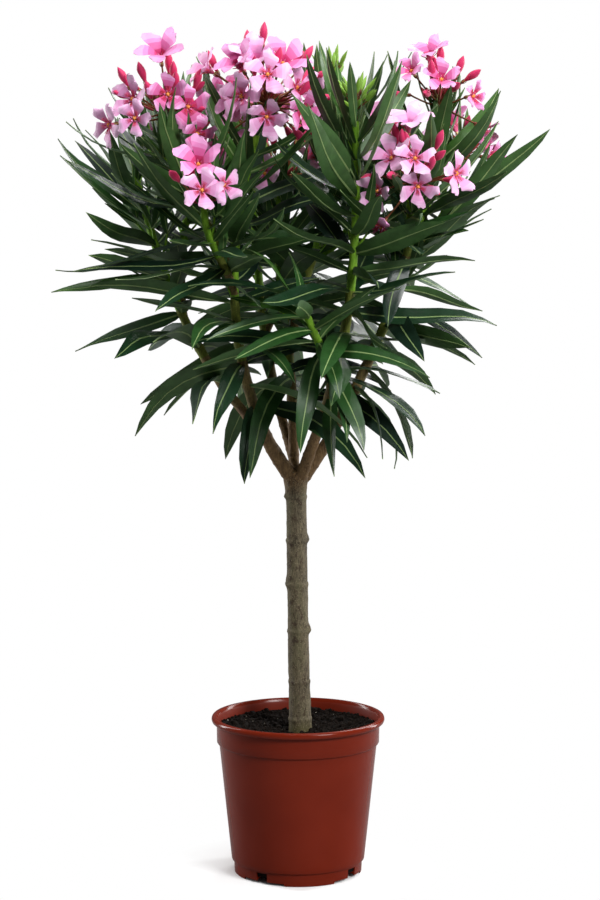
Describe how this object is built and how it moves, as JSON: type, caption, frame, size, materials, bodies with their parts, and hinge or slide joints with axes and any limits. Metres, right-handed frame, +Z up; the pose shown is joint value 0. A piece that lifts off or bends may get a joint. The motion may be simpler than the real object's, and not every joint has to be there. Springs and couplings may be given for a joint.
{
  "type": "potted oleander",
  "caption": "Oleander grown as a small standard tree: a bare stem with a round crown of long leaves and pink flower heads, in a round plastic nursery pot.",
  "frame": {"origin": "on the floor, in the middle under the plant", "axes": "+Z up along the stem, -Y towards the side that is seen in front, +X to that side's right"},
  "size_m": [0.5942, 0.4758, 1.0011],
  "materials": {
    "pot": "semi-gloss moulded red-brown plastic",
    "compost": "matt moist compost",
    "bark": "matt grey-brown bark with fine cracks",
    "leaf": "smooth leathery leaf, slightly glossy",
    "flower": "soft matt petals",
    "bud": "smooth young buds"
  },
  "bodies": {
    "root": {"pot": "pot", "compost": "compost", "trunk": "bark", "bough_back": "bark", "bough_front_right": "bark", "bough_left": "bark", "bough_left_back": "bark", "bough_middle": "bark", "bough_right": "bark", "foliage_back": "leaf", "foliage_left_back": "leaf", "foliage_left_front": "leaf", "foliage_middle": "leaf", "foliage_right": "leaf", "foliage_right_front": "leaf", "flowers_back": "flower", "flowers_centre": "flower", "flowers_far_left": "flower", "flowers_far_right": "flower", "flowers_left": "flower", "flowers_low_left": "flower", "flowers_low_right": "flower", "flowers_rear_left": "flower", "flowers_rear_right": "flower", "flowers_right": "flower", "buds_centre_right": "bud", "buds_front": "bud"}
  },
  "joints": []
}
